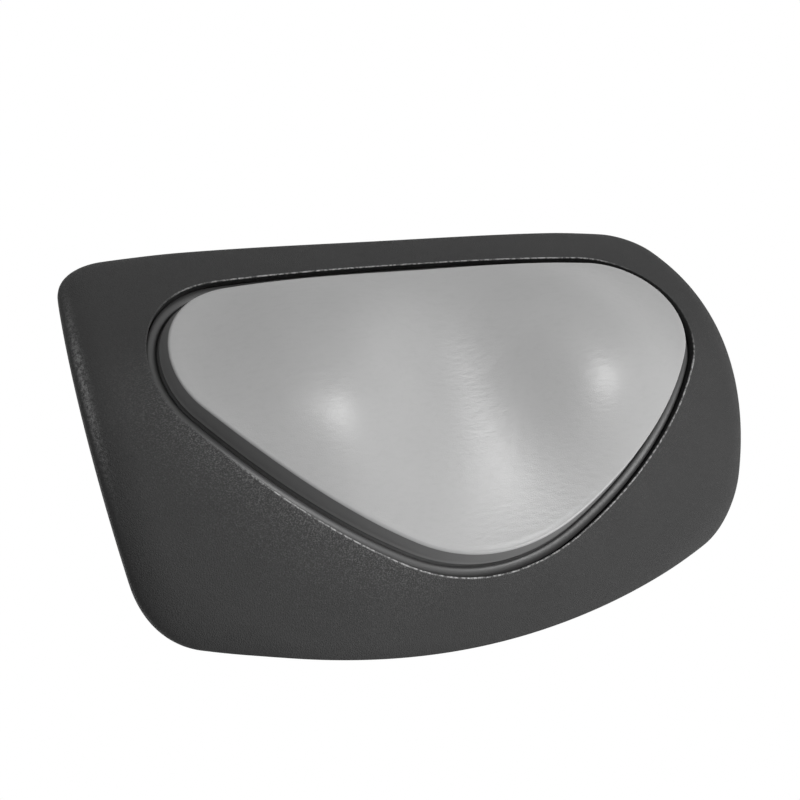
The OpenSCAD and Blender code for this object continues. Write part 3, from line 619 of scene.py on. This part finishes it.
def foam_skin():
    m = Nodes("foam_skin")
    warp = m.noise(260, 2)
    grain = m.cells(1150, "DISTANCE_TO_EDGE")
    pores = m.noise(2600, 2)
    height = m.math("ADD", m.span(grain, 0, 1, 0, 0.28), m.math("MULTIPLY", pores, 0.35))
    height = m.math("ADD", height, m.math("MULTIPLY", warp, 0.5))
    speckle = m.span(m.noise(1, 3, m.stretch((1500, 1500, 2300)), 0.65), 0, 1, 0.48, 0.66)
    # Painted sparkle: light flecks toward grey 128 where the grain would glint
    sparkle_flecks = m.math("MULTIPLY", speckle, m.span(m.value("painted_sparkle"), 0.04, 0.85))
    # Painted highlight: lighter toward grey 176 along the lip's crest and in a strip on each side's roll
    painted_glints = m.math("MULTIPLY", m.value("painted_highlight"), m.span(m.noise(700, 2), 0.12, 1, 0.4, 0.6))
    colour = m.mix(m.noise(38, 4), grey(61), grey(67))
    colour = m.mix(sparkle_flecks, colour, grey(128))
    colour = m.mix(painted_glints, colour, grey(176))
    m.set(Base_Color=colour, Roughness=m.span(m.noise(420, 3), 0.6, 0.72))
    m.set(Normal=m.bump(height, 0.12), Specular_IOR_Level=0.04)
    return m.mat


def cushion_cover():
    m = Nodes("cushion_cover")
    creases = m.noise(1, 2, m.stretch((190, 560, 560)), 0.5)
    grain = m.cells(1500, "DISTANCE_TO_EDGE")
    height = m.math("ADD", m.math("MULTIPLY", creases, 1.5), m.span(grain, 0, 0.25, 0, 0.3))
    tone = m.mix(m.noise(30, 4), grey(164), grey(171))
    # Painted shade: colour darkens toward grey 150 in the creases' hollows
    m.set(Base_Color=m.mix(m.span(creases, 0.12, 0, 0.3, 0.5), tone, grey(150)))
    m.set(Roughness=m.span(m.noise(300, 3), 0.34, 0.4))
    m.set(Normal=m.bump(height, 0.07), Specular_IOR_Level=0.35)
    return m.mat


def cushion_side_shaded():
    # Painted shade: a darker copy of the cushion's light grey cover, for its side wall
    m = Nodes("cushion_side_shaded")
    m.set(Base_Color=m.mix(m.noise(60, 4), grey(110), grey(120)))
    m.set(Roughness=m.span(m.noise(500, 3), 0.6, 0.7))
    m.set(Normal=m.bump(m.noise(1500, 3), 0.05), Specular_IOR_Level=0.1)
    return m.mat


def rubber(name, dark, light, rough):
    m = Nodes(name)
    m.set(Base_Color=m.mix(m.noise(60, 4), grey(dark), grey(light)))
    m.set(Roughness=m.span(m.noise(700, 3), rough - 0.06, rough + 0.06))
    m.set(Normal=m.bump(m.noise(1800, 3), 0.05))
    return m.mat


def moulded(name, dark, light, rough):
    m = Nodes(name)
    height = m.math("ADD", m.cells(2200), m.noise(3500, 2))
    m.set(Base_Color=m.mix(m.noise(45, 4), grey(dark), grey(light)))
    m.set(Roughness=m.span(m.noise(250, 3), rough - 0.07, rough + 0.07), Normal=m.bump(height, 0.06))
    return m.mat


def metal(name, colour, rough, brush):
    m = Nodes(name)
    streaks = m.noise(1, 3, m.stretch(brush), 0.6)
    worn = tuple(min(1, c * 1.12) for c in colour)
    m.set(Base_Color=m.mix(m.noise(120, 4), colour, worn), Metallic=1.0)
    m.set(Roughness=m.span(streaks, rough - 0.1, rough + 0.12), Normal=m.bump(streaks, 0.02))
    return m.mat


def powder_coat(name, dark, light):
    m = Nodes(name)
    m.set(Base_Color=m.mix(m.noise(80, 4), grey(dark), grey(light)))
    m.set(Roughness=m.span(m.noise(900, 3), 0.34, 0.5), Normal=m.bump(m.noise(1500, 3), 0.08))
    return m.mat


def paint(node, mat):
    obj = nodes[node]
    obj.data.materials.clear()
    obj.data.materials.append(mat)


surround.data.materials.append(foam_skin())
cushion.data.materials.append(cushion_cover())
# The side's faces take the darker copy, painted shade
cushion.data.materials.append(cushion_side_shaded())
for face in cushion.data.polygons:
    if SIDE_FIRST <= (min(face.vertices) - 1) // len(TURNS) < SIDE_LAST:
        face.material_index = 1
bead.data.materials.append(rubber("bead_rubber", 58, 66, 0.45))
shell.data.materials.clear()
shell.data.materials.append(moulded("shell_plastic", 40, 46, 0.5))

zinc = metal("zinc_steel", (0.52, 0.53, 0.55), 0.36, (900, 900, 200))
bright = metal("bright_steel", (0.6, 0.6, 0.61), 0.26, (200, 1500, 1500))
blued = metal("spring_steel", (0.16, 0.165, 0.18), 0.34, (300, 1200, 1200))
brass = metal("brass", (0.7, 0.5, 0.22), 0.3, (300, 1200, 1200))
cast = metal("die_cast", (0.5, 0.51, 0.52), 0.48, (900, 900, 900))
anodised = metal("rail_metal", (0.62, 0.63, 0.64), 0.36, (1400, 1400, 60))
acetal = moulded("acetal", 205, 214, 0.42)
for names, mat in (
    ("insert_tray", moulded("tray_plastic", 66, 74, 0.6)),
    ("core_plate", moulded("core_plastic", 74, 80, 0.55)),
    ("push_nuts shell_screws bracket_screws knuckle_screws cap_screws", zinc),
    ("pivot_shaft lock_nut clamp_spindle", bright),
    ("disc_springs", blued),
    ("threaded_inserts nut_bush clamp_pad", brass),
    ("hinge_bracket", powder_coat("black_paint", 26, 31)),
    ("friction_washers", moulded("fibre", 104, 120, 0.7)),
    ("carriage", moulded("carriage_plastic", 44, 50, 0.5)),
    ("glide_liners knuckle_bushes", acetal),
    ("tilt_knuckle", cast),
    ("clamp_knob", moulded("knob_plastic", 30, 36, 0.45)),
    ("mount_rail", anodised),
    ("rail_end_caps", moulded("cap_plastic", 32, 38, 0.5)),
):
    for name in names.split():
        paint(name, mat)


# Camera, fitted to the photograph's outlines
SENSOR_W = 36


def place_camera():
    azimuth, elevation, roll, distance = -28.583, -18.904, -16.95, 461.832
    target = Vector((-34.921, FRONT_Y, PIVOT_Z - 4.274))
    focal_px, width_px = 1198.385, 800
    a, e, r = (math.radians(v) for v in (azimuth, elevation, roll))
    back = Vector((math.sin(a) * math.cos(e), -math.cos(a) * math.cos(e), math.sin(e)))
    right = Vector((math.cos(a), math.sin(a), 0))
    up = right.cross(-back)
    x_axis = math.cos(r) * right + math.sin(r) * up
    y_axis = -math.sin(r) * right + math.cos(r) * up
    data = bpy.data.cameras.new("camera")
    data.sensor_width = SENSOR_W
    data.lens = SENSOR_W * focal_px / width_px
    data.clip_start, data.clip_end = 0.01, 50
    cam = bpy.data.objects.new("camera", data)
    turn = Matrix((x_axis, y_axis, back)).transposed().to_4x4()
    cam.matrix_world = Matrix.Translation((target + back * distance) * MM) @ turn
    bpy.context.scene.collection.objects.link(cam)
    bpy.context.scene.camera = cam


place_camera()


# Studio
def seen_rays(tree):
    """Socket that is 1 for rays from the camera and for mirrored or refracted ones."""
    path = tree.nodes.new("ShaderNodeLightPath")
    seen = path.outputs["Is Camera Ray"]
    for other in ("Is Glossy Ray", "Is Transmission Ray"):
        both = tree.nodes.new("ShaderNodeMath")
        both.operation = "MAXIMUM"
        tree.links.new(seen, both.inputs[0])
        tree.links.new(path.outputs[other], both.inputs[1])
        seen = both.outputs[0]
    return seen


def make_world(level):
    world = bpy.data.worlds.new("studio")
    bpy.context.scene.world = world
    world.use_nodes = True
    tree = world.node_tree
    tree.nodes.clear()
    strength = tree.nodes.new("ShaderNodeMapRange")
    strength.inputs["To Min"].default_value = level
    strength.inputs["To Max"].default_value = 1
    tree.links.new(seen_rays(tree), strength.inputs["Value"])
    shine = tree.nodes.new("ShaderNodeBackground")
    shine.inputs["Color"].default_value = (1, 1, 1, 1)
    tree.links.new(strength.outputs["Result"], shine.inputs["Strength"])
    out = tree.nodes.new("ShaderNodeOutputWorld")
    tree.links.new(shine.outputs[0], out.inputs["Surface"])


def make_floor(z, size):
    """Pale floor that keeps shadows near the object and fades to white farther out."""
    mesh = bpy.data.meshes.new("floor")
    s = size / 2
    mesh.from_pydata([(-s, -s, z), (s, -s, z), (s, s, z), (-s, s, z)], [], [(0, 1, 2, 3)])
    floor = bpy.data.objects.new("floor", mesh)
    bpy.context.scene.collection.objects.link(floor)
    m = Nodes("floor")
    m.set(Base_Color=m.mix(m.noise(3, 2), (0.9, 0.9, 0.9), (0.92, 0.92, 0.92)))
    m.set(Roughness=0.9, Specular_IOR_Level=0.1)
    glow = m.add("ShaderNodeEmission", Strength=1.0)
    blend = m.add("ShaderNodeMixShader")
    reach = m.add("ShaderNodeVectorMath", operation="LENGTH")
    m.tree.links.new(m.place, reach.inputs[0])
    far = m.span(reach.outputs["Value"], 0.6, 1, 0.6, 2.0)
    m.tree.links.new(m.math("MULTIPLY", seen_rays(m.tree), far), blend.inputs["Fac"])
    m.tree.links.new(m.shader.outputs[0], blend.inputs[1])
    m.tree.links.new(glow.outputs[0], blend.inputs[2])
    m.tree.links.new(blend.outputs[0], m.tree.nodes["Material Output"].inputs["Surface"])
    mesh.materials.append(m.mat)


make_world(level=0.05)
make_floor(z=-1.25, size=40)
HEAD_MIDDLE = Vector((0, -0.08, -0.02))


def lamp(name, azimuth, elevation, distance, size, power):
    """Square lamp aimed at the head, in degrees, metres and watts; azimuth 0 is in front."""
    a, e = math.radians(azimuth), math.radians(elevation)
    way = Vector((math.sin(a) * math.cos(e), -math.cos(a) * math.cos(e), math.sin(e)))
    data = bpy.data.lights.new(name, "AREA")
    data.shape, data.size, data.size_y = "RECTANGLE", size, size
    data.energy = power
    obj = bpy.data.objects.new(name, data)
    obj.location = HEAD_MIDDLE + distance * way
    obj.rotation_mode = "QUATERNION"
    obj.rotation_quaternion = (-way).to_track_quat("-Z", "Y")
    bpy.context.scene.collection.objects.link(obj)


lamp("key", 23, -0.5, 1.55, 0.3, 16.8)
lamp("low_right", 80, -45, 1.4, 0.6, 10.5)
lamp("left", -52, 0, 1.4, 0.6, 2.6)
lamp("fill", -46, 30, 1.4, 0.6, 2.3)
lamp("rear_left", -172, 8, 1.6, 0.7, 5)
lamp("rear_right", 148, 12, 1.6, 0.7, 13)

bpy.context.scene.view_settings.view_transform = "Standard"

bpy.context.view_layer.update()
